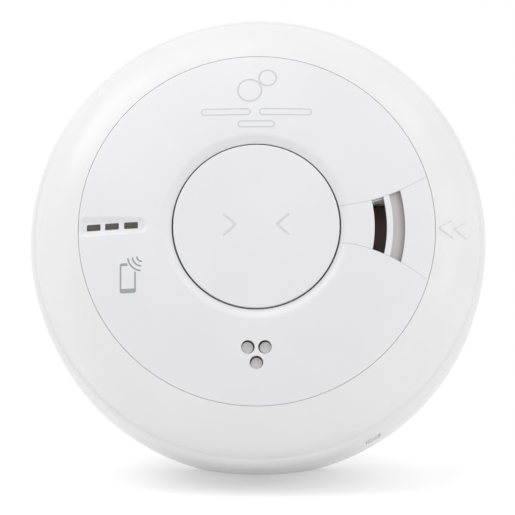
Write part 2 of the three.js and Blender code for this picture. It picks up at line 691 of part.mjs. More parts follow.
addPiece('front_housing', frontHousing(), 'rim_white');
addPiece('face_plate', facePlate(), 'face_white');
addPiece('sounder_grille', sounderGrille(), 'face_white');
addPiece('rear_housing', rearHousing(), 'rim_white');
SCREW_ANGLES.forEach((angle, i) => addPiece(`housing_screw_${i + 1}`, housingScrew(angle), 'steel'));
addPiece('release_catch', releaseCatch(), 'rim_white');
addPiece('test_button', testButton(), 'face_white');
addPiece('button_spring', buttonSpring(), 'steel');

LED_X.forEach((x, i) => {
  addPiece(`led_window_${i + 1}`, ledWindow(x), 'window_smoke');
  addPiece(`led_${i + 1}`, led(x), 'led_lens');
});
addPiece('light_guide', lightGuide(), 'clear_guide');

addPiece('circuit_board', circuitBoard(), 'board_green');
addPiece('microcontroller', box(-19, -9, 11, 21, ON_BOARD, ON_BOARD + 1.6), 'black_plastic');
addPiece('rectifier', box(-19, -11, -25, -19, ON_BOARD, ON_BOARD + 2.6), 'black_plastic');
addPiece('test_switch', testSwitch(), 'black_plastic');
addPiece('film_capacitor', filmCapacitor(), 'cap_yellow');
addPiece('can_capacitor', canCapacitor(), 'steel');
addPiece('varistor', varistor(), 'varistor_blue');
addPiece('choke', choke(), 'black_plastic');
addPiece('fuse', fuse(), 'ceramic');
[[-27, 31], [2, 38.5]].forEach(([x, y], i) => {
  addPiece(`backup_cell_${i + 1}`, cylinder(x, y, ON_BOARD, ON_BOARD + 3.2, 11.5, 28), 'steel');
});

addPiece('co_sensor_cell', sensorCell(), 'steel');
addPiece('sensor_gasket', sensorGasket(), 'rubber');
addPiece('sensor_screen', sensorScreen(), 'filter_grey');
addPiece('sounder_horn', sounderHorn(), 'horn_grey');
addPiece('piezo_plate', cylinder(HORN.x, 0, 28.6, 29.0, HORN.r - HORN.wall - 0.4, 28), 'brass');
addPiece('piezo_ceramic', cylinder(HORN.x, 0, 29.3, 29.6, 9.8, 28), 'piezo_brown');

addPiece('contact_carrier', contactCarrier(), 'black_plastic');
WAYS.forEach((y, i) => addPiece(`contact_pin_${i + 1}`, contactPin(y), 'brass'));

assembly.rotateX(Math.PI / 2);

export default assembly;
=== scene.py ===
import json
import math

import bmesh
import bpy
import numpy as np
from mathutils import Matrix, Vector

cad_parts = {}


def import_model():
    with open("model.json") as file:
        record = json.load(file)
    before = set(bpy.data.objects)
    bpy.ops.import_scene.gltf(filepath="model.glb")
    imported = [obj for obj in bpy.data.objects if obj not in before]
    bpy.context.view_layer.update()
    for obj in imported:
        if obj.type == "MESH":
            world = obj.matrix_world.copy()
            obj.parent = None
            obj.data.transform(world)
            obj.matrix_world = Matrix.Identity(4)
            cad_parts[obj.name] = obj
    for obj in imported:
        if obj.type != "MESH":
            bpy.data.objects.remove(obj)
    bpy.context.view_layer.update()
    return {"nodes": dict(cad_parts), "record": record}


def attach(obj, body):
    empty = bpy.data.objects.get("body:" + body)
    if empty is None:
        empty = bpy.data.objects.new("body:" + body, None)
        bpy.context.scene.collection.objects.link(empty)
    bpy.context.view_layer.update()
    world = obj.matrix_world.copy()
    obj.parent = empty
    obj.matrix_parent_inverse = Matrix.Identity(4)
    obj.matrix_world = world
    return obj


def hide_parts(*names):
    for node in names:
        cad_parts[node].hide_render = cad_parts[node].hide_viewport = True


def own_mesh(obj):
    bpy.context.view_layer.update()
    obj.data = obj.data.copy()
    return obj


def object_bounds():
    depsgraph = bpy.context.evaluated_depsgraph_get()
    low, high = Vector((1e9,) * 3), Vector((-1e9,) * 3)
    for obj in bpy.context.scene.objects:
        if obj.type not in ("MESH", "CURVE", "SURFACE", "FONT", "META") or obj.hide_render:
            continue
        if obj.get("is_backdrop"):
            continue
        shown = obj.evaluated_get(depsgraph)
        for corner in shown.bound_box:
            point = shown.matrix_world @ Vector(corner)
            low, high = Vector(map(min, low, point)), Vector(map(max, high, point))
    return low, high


# The alarm is modelled in its own directions, in millimetres: x to the right and y up on its
# face, z out of the wall. to_row() turns that into the row frame, where the face looks along -Y.

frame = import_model()

# ------------------------------------------------------------------ sizes, in millimetres

MM = 0.001
GAP = 0.3                 # between neighbouring pieces

OUTER_R = 70.5
DEPTH = 47.0
WALL = 2.2
PLATE_R = 70.1
PLATE_DEPTH = 11.3
PLATE_FLOOR = 2.6
PLATE_SKIRT = 1.9
SEAT_Y = 25.4             # raised screw seats above and below the middle of the plate
SCREW_SLOT = (11, 4.4, 2.19)    # length, width and end radius of the slot in each seat
CLAMP_X, CLAMP_YS = 47, (-8, 8)     # screws of the cable clamp
HEAD_BACK = PLATE_DEPTH + GAP

CREASE = (68.8, 25.0)     # radius and height where the lip meets the dome
PARTING = (54.8, 39.4)    # joint line between the housing and the face
BROW = (29.2, 46.0)       # highest ring of the face, around the button's dish
DISH_Z = 44.9
FACE_WALL = 2.0
BUTTON_R = 25.45
BUTTON_HOLE_R = 25.9
BUTTON_EDGE_Z = 45.6
PARTING_GAP = 0.1         # seen width of the joint line around the face

FAN_GAP = 0.07            # seen width of the joint lines beside the grille
FAN_Y = 0.4               # middle line of the fan-shaped grille
FAN_START = 26            # x from which its width is reckoned
FAN_WIDTHS = (5.8, 0.0954, 0.01157)     # half width there, its slope and its curve
SLOTS = ((36.15, 39.9), (41.8, 45.45))      # inner and outer radius of the two sounder slots
SLOT_FLARE = 0.3
HORN_X, HORN_R = 39.6, 11.6
HORN_MOUTH = (35.6, 40.1)       # opening of the horn, under the inner slot
MOUTH_HALF = 8.3
RAMP_DEPTHS = (1.1, 1.9)  # ramp in the outer slot, below the face at its inner and outer edge

VENT_R = 2.05
VENTS = ((-2.6, -37.5), (2.6, -37.5), (0.0, -42.1))
PAD_R = 1.83              # filter pad standing in each vent, a little to the side of its middle
PAD_OFFSET = 0.18
PAD_DROPS = (0.03, 0.03, 0.15)
PAD_DEPTH = 0.45

LED_X = (-50.0, -44.3, -38.4)
LED_Y = 0.74
WINDOW_W, WINDOW_H = 4.1, 1.85
WINDOW_GAP = 0.12

CATCH_ANGLE = math.radians(-59.8)
CATCH_PIVOT_R, CATCH_END_R, CATCH_WIDTH, CATCH_Z, CATCH_T = 48.0, 67.2, 7.0, 14.0, 1.6
SLOT_Z = (12.5, 17.7)     # the release slot in the side wall
TAB_Z = (14.2, 15.7)      # the catch's tab inside it

SCREW_ANGLES = (40, 140, 220, 320)
SCREW_RING_R = 60.3
WAYS = (-12.0, -4.0, 4.0, 12.0)     # the four ways of the terminal block
POCKET = {"x0": -24.8, "x1": 33.5, "y": 18.8, "top": 21.0}      # rear housing, over that block

TURN = 256                # columns of a smooth turned shell
ABOVE = 60                # higher than any piece, for the cutters

# ------------------------------------------------------------------ mesh helpers


def to_row(points):
    """Points in the alarm's directions and millimetres, as row-frame metres."""
    p = np.asarray(points, float).reshape(-1, 3)
    return np.stack([p[:, 0], -p[:, 2], p[:, 1]], 1) * MM


def around(count):
    """Evenly spaced column angles of a full turn."""
    return np.linspace(0, 2 * np.pi, count, endpoint=False)


def on_circle(radius, angle, x=0.0, y=0.0):
    return x + radius * math.cos(angle), y + radius * math.sin(angle)


def signed_volume(points, faces):
    total = 0.0
    for face in faces:
        a = points[face[0]]
        for i in range(1, len(face) - 1):
            total += np.dot(a, np.cross(points[face[i]], points[face[i + 1]]))
    return total / 6


def mesh_object(name, points, faces):
    """A closed mesh object, still in the alarm's own millimetres, with its faces pointing out."""
    points = np.asarray(points, float)
    if signed_volume(points, faces) < 0:
        faces = [tuple(reversed(face)) for face in faces]
    mesh = bpy.data.meshes.new(name)
    mesh.from_pydata([tuple(p) for p in points], [], faces)
    mesh.update()
    obj = bpy.data.objects.new(name, mesh)
    bpy.context.scene.collection.objects.link(obj)
    return obj


def turned(name, profile, angles=None, shift=None):
    """A profile of (radius, z) points turned about the z axis. shift(x, y, z) may move the grid
    along z. A profile that starts and ends on the axis is capped there; any other is closed."""
    if angles is None:
        angles = around(TURN)
    profile = [tuple(p) for p in profile]
    on_axis = profile[0][0] == 0 and profile[-1][0] == 0
    rings = profile[1:-1] if on_axis else profile
    radius = np.array([p[0] for p in rings])[None, :]
    height = np.array([p[1] for p in rings])[None, :]
    x = radius * np.cos(angles)[:, None]
    y = radius * np.sin(angles)[:, None]
    z = np.broadcast_to(height, x.shape).copy()
    if shift is not None:
        z = z + shift(x, y, z)
    columns, rows = x.shape
    points = np.stack([x, y, z], 2).reshape(-1, 3)
    faces = []
    last = rows - 1 if on_axis else rows
    for i in range(columns):
        j = (i + 1) % columns
        for k in range(last):
            m = (k + 1) % rows
            faces.append((i * rows + k, j * rows + k, j * rows + m, i * rows + m))
    if on_axis:
        points = np.vstack([points, [[0, 0, profile[0][1]], [0, 0, profile[-1][1]]]])
        low, high = len(points) - 2, len(points) - 1
        for i in range(columns):
            j = (i + 1) % columns
            faces.append((low, j * rows, i * rows))
            faces.append((high, i * rows + rows - 1, j * rows + rows - 1))
    return mesh_object(name, points, faces)


def prism(name, outline, z0, z1):
    """An outline of (x, y) points pulled from z0 to z1."""
    n = len(outline)
    points = [(x, y, z0) for x, y in outline] + [(x, y, z1) for x, y in outline]
    faces = [tuple(range(n)), tuple(range(2 * n - 1, n - 1, -1))]
    faces += [(i, i + n, (i + 1) % n + n, (i + 1) % n) for i in range(n)]
    return mesh_object(name, points, faces)


def box(name, x0, x1, y0, y1, z0, z1, turn=0.0):
    obj = prism(name, [(x0, y0), (x1, y0), (x1, y1), (x0, y1)], z0, z1)
    if turn:
        obj.data.transform(Matrix.Rotation(turn, 4, "Z"))
    return obj


def circle(x, y, r, count=48):
    return [on_circle(r, a, x, y) for a in around(count)]


def rounded_rect(x, y, width, height, radius, count=8):
    corners = ((1, 1, 0), (-1, 1, 90), (-1, -1, 180), (1, -1, 270))
    outline = []
    for sx, sy, start in corners:
        cx, cy = x + sx * (width / 2 - radius), y + sy * (height / 2 - radius)
        for i in range(count + 1):
            outline.append(on_circle(radius, math.radians(start + 90 * i / count), cx, cy))
    return outline


def combine(obj, others, operation="DIFFERENCE"):
    """Joins or cuts obj with the others, which are used up."""
    group = bpy.data.collections.new("operands")
    for other in others:
        group.objects.link(other)
    modifier = obj.modifiers.new("boolean", "BOOLEAN")
    modifier.operand_type = "COLLECTION"
    modifier.collection = group
    modifier.operation = operation
    modifier.solver = "EXACT"
    apply_modifiers(obj)
    for other in others:
        bpy.data.objects.remove(other)
    bpy.data.collections.remove(group)
    return obj


def apply_modifiers(obj):
    bpy.context.view_layer.update()
    depsgraph = bpy.context.evaluated_depsgraph_get()
    mesh = bpy.data.meshes.new_from_object(obj.evaluated_get(depsgraph))
    old = obj.data
    obj.modifiers.clear()
    obj.data = mesh
    bpy.data.meshes.remove(old)


def bevel(obj, width, segments=2, angle=35):
    modifier = obj.modifiers.new("bevel", "BEVEL")
    modifier.width = width
    modifier.segments = segments
    modifier.limit_method = "ANGLE"
    modifier.angle_limit = math.radians(angle)
    modifier.use_clamp_overlap = True
    apply_modifiers(obj)
    return obj


def shade(obj, angle=32):
    """Smooth shading that keeps edges sharper than the angle."""
    obj.data.shade_smooth()
    mesh = bmesh.new()
    mesh.from_mesh(obj.data)
    bmesh.ops.remove_doubles(mesh, verts=mesh.verts, dist=1e-5)
    limit = math.radians(angle)
    for edge in mesh.edges:
        edge.smooth = len(edge.link_faces) != 2 or edge.calc_face_angle(0.0) < limit
    mesh.to_mesh(obj.data)
    mesh.free()


def finish_piece(obj, body, slot, material, *nodes, angle=32):
    """Moves a piece into the row frame and hands it to its CAD body."""
    shade(obj, angle)
    turn = Matrix(((1, 0, 0, 0), (0, 0, -1, 0), (0, 1, 0, 0), (0, 0, 0, 1)))
    obj.data.transform(Matrix.Scale(MM, 4) @ turn)
    obj.data.materials.clear()
    obj.data.materials.append(material)
    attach(obj, body)
    if nodes:
        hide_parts(*nodes)
    return obj


def bezier(p0, p1, p2, p3, count):
    """Points along a cubic curve, with both ends."""
    t = np.linspace(0, 1, count + 1)[:, None]
    p0, p1, p2, p3 = (np.array(p, float) for p in (p0, p1, p2, p3))
    curve = (1 - t) ** 3 * p0 + 3 * t * (1 - t) ** 2 * p1 + 3 * t * t * (1 - t) * p2 + t ** 3 * p3
    return [tuple(p) for p in curve]


def rounded_profile(corners, count=5):
    """A profile given by (r, z) or (r, z, radius) corners; a corner with a radius is rounded off."""
    out = []
    n = len(corners)
    for i, corner in enumerate(corners):
        if len(corner) == 2 or corner[2] == 0:
            out.append((corner[0], corner[1]))
            continue
        here = np.array(corner[:2], float)
        before = np.array(corners[i - 1][:2], float) - here
        after = np.array(corners[(i + 1) % n][:2], float) - here
        before_length, after_length = np.linalg.norm(before), np.linalg.norm(after)
        before, after = before / before_length, after / after_length
        half = math.acos(max(-1.0, min(1.0, float(before @ after)))) / 2
        reach = min(corner[2] / math.tan(half), 0.49 * before_length, 0.49 * after_length)
        radius = reach * math.tan(half)
        middle = (before + after) / np.linalg.norm(before + after)
        centre = here + middle * radius / math.sin(half)
        a = here + before * reach - centre
        b = here + after * reach - centre
        start, end = math.atan2(a[1], a[0]), math.atan2(b[1], b[0])
        sweep = (end - start + math.pi) % (2 * math.pi) - math.pi
        for k in range(count + 1):
            out.append(on_circle(radius, start + sweep * k / count, *centre))
    return out


def smoothstep(low, high, value):
    t = np.clip((value - low) / (high - low), 0, 1)
    return t * t * (3 - 2 * t)


def angles_with_dense(centre, half_width, fine, coarse=2 * np.pi / TURN):
    """Column angles, close together around one direction and wider elsewhere."""
    dense = np.arange(centre - half_width, centre + half_width, fine)
    rest_count = int((2 * np.pi - 2 * half_width) / coarse)
    rest = np.linspace(centre + half_width, centre - half_width + 2 * np.pi, rest_count, endpoint=False)
    return np.concatenate([dense, rest])


# ------------------------------------------------------------------ outer surface

FACE_SLOPE = ((PARTING[0], PARTING[1]), (46.5, PARTING[1] + 3.0), (38.0, BROW[1] - 1.1), BROW)
FACE_DISH = (BROW, (28.0, BROW[1] + 0.15), (27.2, DISH_Z + 0.15), (BUTTON_HOLE_R, DISH_Z))
DOME = (CREASE, (67.9, 30.2), (63.15, 36.4), (PARTING[0], PARTING[1]))
DOME_LINE = np.array(bezier(*DOME, 90))


def face_line(count=100):
    """The face from the joint line in to the button hole."""
    slope = bezier(*FACE_SLOPE, count)
    dish = bezier(*FACE_DISH, 18)
    return slope + dish[1:]


FACE_LINE = np.array(face_line())


def face_height(radius):
    return np.interp(radius, FACE_LINE[::-1, 0], FACE_LINE[::-1, 1])


def segment_distance(x, y, ax, ay, bx, by):
    """Distance from (x, y) to a straight line between two points."""
    dx, dy = bx - ax, by - ay
    t = np.clip(((x - ax) * dx + (y - ay) * dy) / (dx * dx + dy * dy), 0, 1)
    return np.hypot(x - ax - t * dx, y - ay - t * dy)


CHANNEL_DEPTH = 1.0
CHANNEL_SIDES = (1.7, 1.4)      # widths of the upper and the lower sloping side
CHANNEL_END = -33.1             # x of the rounded inner end
CHANNEL_LOW = -2.0              # y of the straight lower edge
CHANNEL_TOP = (3.04, -0.0654)   # y of the upper edge at its inner end, and its slope
CHANNEL_FADE = (2.4, 0.4, 0.85)     # where it grows shallow before the joint line, and by how much


def channel_shift(x, y, z):
    """Recess for the indicator windows: a flat floor between wide sloping sides."""
    top = CHANNEL_TOP[0] + CHANNEL_TOP[1] * (x - CHANNEL_END)
    half = (top - CHANNEL_LOW) / 2
    middle = (top + CHANNEL_LOW) / 2
    end = CHANNEL_END - (CHANNEL_TOP[0] - CHANNEL_LOW) / 2
    side = np.where(y > middle, *CHANNEL_SIDES)
    inside = (half - np.hypot(np.maximum(x - end, 0), y - middle)) / side
    radius = np.hypot(x, y)
    share = (np.clip(inside, 0, 1) + smoothstep(0, 1, inside)) / 2
    start, end, loss = CHANNEL_FADE
    share *= 1 - loss * smoothstep(PARTING[0] - start, PARTING[0] - end, radius)
    on_top = (z > face_height(radius) - 0.5) & (x < 0)
    return np.where(on_top, -CHANNEL_DEPTH * share, 0.0)


def fan_half(x, margin):
    start, growth, bend = FAN_WIDTHS
    return start + growth * (x - FAN_START) + bend * (x - FAN_START) ** 2 + margin


def fan_outline(margin, count=24):
    """Outline of the grille, made wider by the margin on each side."""
    xs = np.linspace(BUTTON_HOLE_R - 3, PARTING[0] + 3, count)
    lower = [(x, FAN_Y - fan_half(x, margin)) for x in xs]
    upper = [(x, FAN_Y + fan_half(x, margin)) for x in xs[::-1]]
    return lower + upper


def fan_prism(margin, z0=30, z1=ABOVE):
    return prism("fan", fan_outline(margin), z0, z1)


ARROWS = ((55.9, 60.1, 2.75, 0.45), (60.6, 64.4, 2.6, 0.6))     # x of tip and base, half width, y
ARROW_HEIGHT = 0.5
ARROW_EDGE = 0.12               # half the width of an arrowhead's sloping edge


def arrow_shift(x, y, z):
    """Two raised arrowheads on the right of the dome, pointing at the face."""
    raised = np.zeros_like(x)
    for tip, base, half, middle in ARROWS:
        slope = half / (base - tip)
        side = (slope * (x - tip) - np.abs(y - middle)) / math.hypot(slope, 1)
        inside = np.minimum(side, base - x)
        raised = np.maximum(raised, smoothstep(-ARROW_EDGE, ARROW_EDGE, inside))
    radius = np.hypot(x, y)
    outside = np.interp(radius, DOME_LINE[::-1, 0], DOME_LINE[::-1, 1])
    return np.where((z > outside - 0.4) & (radius > PARTING[0] + 0.3), ARROW_HEIGHT * raised, 0.0)


CHEVRON_DEPTH = 0.34
CHEVRON_TIP, CHEVRON_TAIL = 6.3, 9.8        # distances from the middle of the button
CHEVRON_Y, CHEVRON_RISE = 0.1, 3.15
CHEVRON_STROKE = (0.2, 0.42)    # half width of the groove's floor, and of its mouth


def chevron_shift(x, y, z):
    """Two engraved chevrons that point at the middle of the button."""
    depth = np.zeros_like(x)
    for side in (-1, 1):
        tip, tail = (side * CHEVRON_TIP, CHEVRON_Y), side * CHEVRON_TAIL
        line = np.minimum(segment_distance(x, y, *tip, tail, CHEVRON_Y + CHEVRON_RISE),
                          segment_distance(x, y, *tip, tail, CHEVRON_Y - CHEVRON_RISE))
        depth = np.maximum(depth, 1 - smoothstep(*CHEVRON_STROKE, line))
    return np.where(z > BUTTON_EDGE_Z, -CHEVRON_DEPTH * depth, 0.0)


# ------------------------------------------------------------------ materials


def shade_of(colour, factor):
    return tuple(min(1.0, c * factor) for c in colour)


class Nodes:
    """Short way to build a node material."""

    def __init__(self, name):
        self.material = bpy.data.materials.new(f"{name}_finish")
        self.material.use_nodes = True
        self.tree = self.material.node_tree
        self.shader = self.tree.nodes["Principled BSDF"]
        coordinates = self.tree.nodes.new("ShaderNodeTexCoord")
        self.place = coordinates.outputs["Object"]

    def set(self, **values):
        for key, value in values.items():
            self.shader.inputs[key.replace("_", " ")].default_value = value
        return self

    def new(self, kind, **values):
        node = self.tree.nodes.new(kind)
        for key, value in values.items():
            setattr(node, key, value)
        return node

    def link(self, source, target):
        self.tree.links.new(source, target)

    def stretched(self, scale):
        mapping = self.new("ShaderNodeMapping")
        mapping.inputs["Scale"].default_value = scale
        self.link(self.place, mapping.inputs["Vector"])
        return mapping.outputs["Vector"]

    def noise(self, scale, detail=2.0, roughness=0.5, vector=None):
        node = self.new("ShaderNodeTexNoise")
        node.inputs["Scale"].default_value = scale
        node.inputs["Detail"].default_value = detail
        node.inputs["Roughness"].default_value = roughness
        self.link(vector or self.place, node.inputs["Vector"])
        return node.outputs["Fac"]

    def ramp(self, fac, low, high, start=0.35, end=0.65):
        node = self.new("ShaderNodeMapRange")
        node.inputs["From Min"].default_value = start
        node.inputs["From Max"].default_value = end
        node.inputs["To Min"].default_value = low
        node.inputs["To Max"].default_value = high
        self.link(fac, node.inputs["Value"])
        return node.outputs["Result"]

    def mix(self, fac, a, b):
        node = self.new("ShaderNodeMix", data_type="RGBA")
        node.inputs["A"].default_value = (*a, 1)
        node.inputs["B"].default_value = (*b, 1)
        self.link(fac, node.inputs["Factor"])
        return node.outputs["Result"]

    def bump(self, height, strength, distance):
        node = self.new("ShaderNodeBump")
        node.inputs["Strength"].default_value = strength
        node.inputs["Distance"].default_value = distance
        self.link(height, node.inputs["Height"])
        self.link(node.outputs["Normal"], self.shader.inputs["Normal"])

    def tint(self, fac, colour, low, high):
        """Lets the base colour vary between two shades of one colour."""
        shades = self.mix(fac, shade_of(colour, low), shade_of(colour, high))
        self.link(shades, self.shader.inputs["Base Color"])

    def roughness(self, socket):
        self.link(socket, self.shader.inputs["Roughness"])


def moulded(name, colour, rough, grain=2600.0, grain_depth=0.000012, cloud=0.012):
    """Injection-moulded plastic: a fine even grain, faint flow clouds, slightly uneven gloss."""
    made = Nodes(name)
    clouds = made.noise(38, 3.0, 0.55)
    made.tint(made.ramp(clouds, 0, 1), colour, 1 - cloud, 1 + cloud)
    made.roughness(made.ramp(made.noise(90, 2.0), rough - 0.03, rough + 0.03))
    made.bump(made.noise(grain, 2.0, 0.6), 0.35, grain_depth)
    return made.material


def metal(name, colour, rough, stretch=(1, 60, 1), scale=900.0):
    """Drawn or plated metal with fine streaks."""
    made = Nodes(name).set(Metallic=1.0)
    streaks = made.noise(scale, 3.0, 0.6, made.stretched(stretch))
    made.tint(made.ramp(streaks, 0, 1), colour, 0.9, 1.06)
    made.roughness(made.ramp(streaks, rough - 0.06, rough + 0.08))
    made.bump(streaks, 0.2, 0.00001)
    return made.material


def smoked(name, colour):
    """Dark tinted window with a moulded skin."""
    made = Nodes(name).set(IOR=1.49)
    clouds = made.noise(300, 2.0)
    made.tint(made.ramp(clouds, 0, 1), colour, 0.85, 1.15)
    made.roughness(made.ramp(made.noise(700, 2.0), 0.22, 0.34))
    return made.material


def clear(name, colour):
    """Clear moulded plastic with a faint haze."""
    made = Nodes(name).set(IOR=1.49, Transmission_Weight=0.9)
    made.tint(made.noise(120), colour, 0.97, 1)
    made.roughness(made.ramp(made.noise(400), 0.05, 0.12))
    return made.material


def laminate(name, colour):
    """Solder mask over glass cloth, with tracks just showing through."""
    made = Nodes(name).set(IOR=1.5)
    wave = made.new("ShaderNodeTexWave", wave_type="BANDS", bands_direction="DIAGONAL")
    wave.inputs["Scale"].default_value = 260
    wave.inputs["Distortion"].default_value = 3.5
    made.link(made.place, wave.inputs["Vector"])
    tracks = made.ramp(wave.outputs["Fac"], 0, 1, 0.55, 0.6)
    made.tint(tracks, colour, 1, 1.5)
    made.roughness(made.ramp(made.noise(500), 0.3, 0.42))
    made.bump(tracks, 0.4, 0.00003)
    return made.material


def filter_cloth(name, colour):
    """Fine woven filter membrane."""
    made = Nodes(name)
    heights = []
    for direction in ("X", "Z"):
        wave = made.new("ShaderNodeTexWave", wave_type="BANDS", bands_direction=direction)
        wave.inputs["Scale"].default_value = 1500
        made.link(made.place, wave.inputs["Vector"])
        heights.append(wave.outputs["Fac"])
    weave = made.new("ShaderNodeMath", operation="MULTIPLY")
    made.link(heights[0], weave.inputs[0])
    made.link(heights[1], weave.inputs[1])
    clouds = made.noise(420, 2.0)
    made.tint(made.ramp(clouds, 0, 1), colour, 0.93, 1.07)
    made.roughness(made.ramp(clouds, 0.75, 0.9))
    made.bump(weave.outputs["Value"], 0.3, 0.00004)
    return made.material


def printed_ink(name, colour):
    """Pad-printed ink, slightly speckled."""
    made = Nodes(name)
    speckle = made.noise(2200, 2.0)
    made.tint(made.ramp(speckle, 0, 1), colour, 0.95, 1.05)
    made.roughness(made.ramp(speckle, 0.45, 0.6))
    return made.material


HOUSING = moulded("housing_white", (0.650, 0.651, 0.649), 0.36)
FACE = moulded("face_white", (0.641, 0.641, 0.654), 0.33)
# partly painted light: the plate's white is set lighter than the housing's, as its own tone and to
# stand in for bounce light from the floor on its lower band
PLATE_WHITE_AND_BOUNCE = moulded("plate_white", (0.715, 0.72, 0.715), 0.5, grain=1500.0, grain_depth=0.00003)
SMOKE = smoked("window_smoke", (0.055, 0.052, 0.047))
TERMINAL = moulded("terminal_grey", (0.42, 0.43, 0.44), 0.5)
HORN_GREY = moulded("horn_grey", (0.43, 0.41, 0.41), 0.5)
BLACK = moulded("black_plastic", (0.03, 0.03, 0.031), 0.45)
YELLOW = moulded("cap_yellow", (0.7, 0.45, 0.08), 0.4)
BLUE = moulded("varistor_blue", (0.05, 0.14, 0.42), 0.35)
RUBBER = moulded("rubber_black", (0.022, 0.022, 0.024), 0.85, grain=900.0, grain_depth=0.00005)
CERAMIC = moulded("ceramic_white", (0.78, 0.74, 0.66), 0.6, grain=1800.0, grain_depth=0.00003)
# painted shade: the piezo disc is coloured a dark brown, darker than its own pale ceramic, for the deep
# shade inside the horn
PIEZO_BROWN_AND_SHADE = moulded("piezo_brown", (0.27, 0.18, 0.145), 0.5, grain=1800.0, grain_depth=0.00002)
LED_RESIN = moulded("led_lens", (0.82, 0.78, 0.62), 0.2)
BRASS = metal("brass", (0.78, 0.58, 0.27), 0.28)
STEEL = metal("steel", (0.62, 0.63, 0.65), 0.3)
GUIDE = clear("clear_guide", (0.86, 0.9, 0.93))
BOARD = laminate("board_green", (0.03, 0.14, 0.07))
FILTER = filter_cloth("filter_grey", (0.50, 0.48, 0.486))
INK = printed_ink("print_grey", (0.28, 0.29, 0.29))
PALE_INK = printed_ink("print_pale_grey", (0.48, 0.485, 0.48))

SLOT_MATERIALS = {
    "housing_white": HOUSING, "face_white": FACE, "plate_white": PLATE_WHITE_AND_BOUNCE, "window_smoke": SMOKE,
    "terminal_grey": TERMINAL, "horn_grey": HORN_GREY, "black_plastic": BLACK,
    "cap_yellow": YELLOW, "varistor_blue": BLUE, "rubber_black": RUBBER, "ceramic_white": CERAMIC,
    "piezo_brown": PIEZO_BROWN_AND_SHADE, "led_lens": LED_RESIN, "brass": BRASS, "steel": STEEL,
    "clear_guide": GUIDE, "board_green": BOARD, "filter_grey": FILTER,
}

# ------------------------------------------------------------------ visible shells


def front_housing():
    """Side wall, stepped lip and dome, with the release slot."""
    inner_wall = OUTER_R - WALL
    opening = PARTING[0] + PARTING_GAP / 2
    lip = bezier((OUTER_R, 20.4), (OUTER_R, 23.2), (69.9, 24.9), (CREASE[0] + 0.1, CREASE[1]), 12)
    inside = bezier((57.4, 35.3), (62.4, 33.2), (66.3, 28.6), (66.6, 23.6), 14)
    corners = [(inner_wall, HEAD_BACK, 0.2), (OUTER_R, HEAD_BACK, 0.5), *lip[:-2], (*CREASE, 0.8),
               *map(tuple, DOME_LINE[5:-1]), (opening, PARTING[1], 0.18), (opening, 37.0),
               (52.4, 37.0, 0.2), (52.4, 35.3, 0.2), *inside, (inner_wall, 21.0)]
    angles = angles_with_dense(0.0, math.radians(4.8), math.radians(0.19))
    shell = turned("housing_shell", rounded_profile(corners), angles, arrow_shift)
    slot = box("slot", 66, 73, -2.6, 2.6, *SLOT_Z, CATCH_ANGLE)
    bevel(slot, 0.4, 3)
    combine(shell, [slot])
    return finish_piece(shell, "head", "housing_white", HOUSING, "front_housing")


def face_shell(name, angles=None, shift=None):
    """The whole ring of the face as one smooth shell."""
    top = face_line()
    edge = PARTING[0] - PARTING_GAP / 2
    under = [(r, z - FACE_WALL) for r, z in face_line(14)[::-1]]
    corners = [(edge, PARTING[1] - FACE_WALL), (edge, PARTING[1] - 0.02, 0.18), *top[1:-1],
               (BUTTON_HOLE_R, DISH_Z, 0.22), *under[:-1]]
    return turned(name, rounded_profile(corners), angles, shift)


def vent_cutter(x, y):
    """A vent bored square to the face, with a small flare at its mouth."""
    radius = math.hypot(x, y)
    slope = float(face_height(radius + 0.5) - face_height(radius - 0.5))
    mouth_r = VENT_R + 0.45
    profile = [(0, -4), (VENT_R, -4), (VENT_R, -0.22), (mouth_r, 0.25), (mouth_r, 2), (0, 2)]
    cutter = turned("vent", profile, around(64))
    normal = Vector((-slope * x / radius, -slope * y / radius, 1)).normalized()
    turn = Vector((0, 0, 1)).rotation_difference(normal).to_matrix().to_4x4()
    place = Matrix.Translation((x, y, float(face_height(radius))))
    cutter.data.transform(place @ turn)
    return cutter


def face_plate():
    """The face around the button, with its channel, vents and the collar below the button hole."""
    angles = angles_with_dense(math.pi, math.radians(7.5), math.radians(0.25))
    plate = face_shell("face_shell", angles, channel_shift)
    collar = turned("collar", [(BUTTON_HOLE_R, 38.4), (BUTTON_HOLE_R, 44.0), (27.5, 44.3), (27.5, 37),
                               (22.4, 37), (22.4, 38.4)])
    combine(collar, [fan_prism(FAN_GAP / 2, 42.4)])
    size = (WINDOW_W + WINDOW_GAP, WINDOW_H + WINDOW_GAP)
    windows = [prism("window", rounded_rect(x, LED_Y, *size, 0.25), 30, ABOVE) for x in LED_X]
    vents = [vent_cutter(x, y) for x, y in VENTS]
    combine(plate, [fan_prism(FAN_GAP / 2), *windows, *vents])
    combine(plate, [collar], "UNION")
    return finish_piece(plate, "head", "face_white", FACE, "face_plate")


def slot_cutter(r0, r1):
    """A ring that cuts one sounder slot, flared where it meets the face."""
    z0, z1 = float(face_height(r0)) - 0.16, float(face_height(r1)) - 0.16
    wide0, wide1 = r0 - SLOT_FLARE, r1 + SLOT_FLARE
    profile = [(r0, 30), (r1, 30), (r1, z1), (wide1, z1 + SLOT_FLARE), (wide1, ABOVE),
               (wide0, ABOVE), (wide0, z0 + SLOT_FLARE), (r0, z0)]
    return turned("slot", profile)


def grille_ring(r0, r1, tall):
    """Ring below the grille, cut to the fan; a tall one reaches up into the panel."""
    tops = [float(face_height(r)) - FACE_WALL + 0.4 if tall else 40.0 for r in (r0, r1)]
    ring = turned("web", [(r0, 38.6), (r1, 38.6), (r1, tops[1]), (r0, tops[0])])
    return combine(ring, [fan_prism(-FAN_GAP / 2)], "INTERSECT")


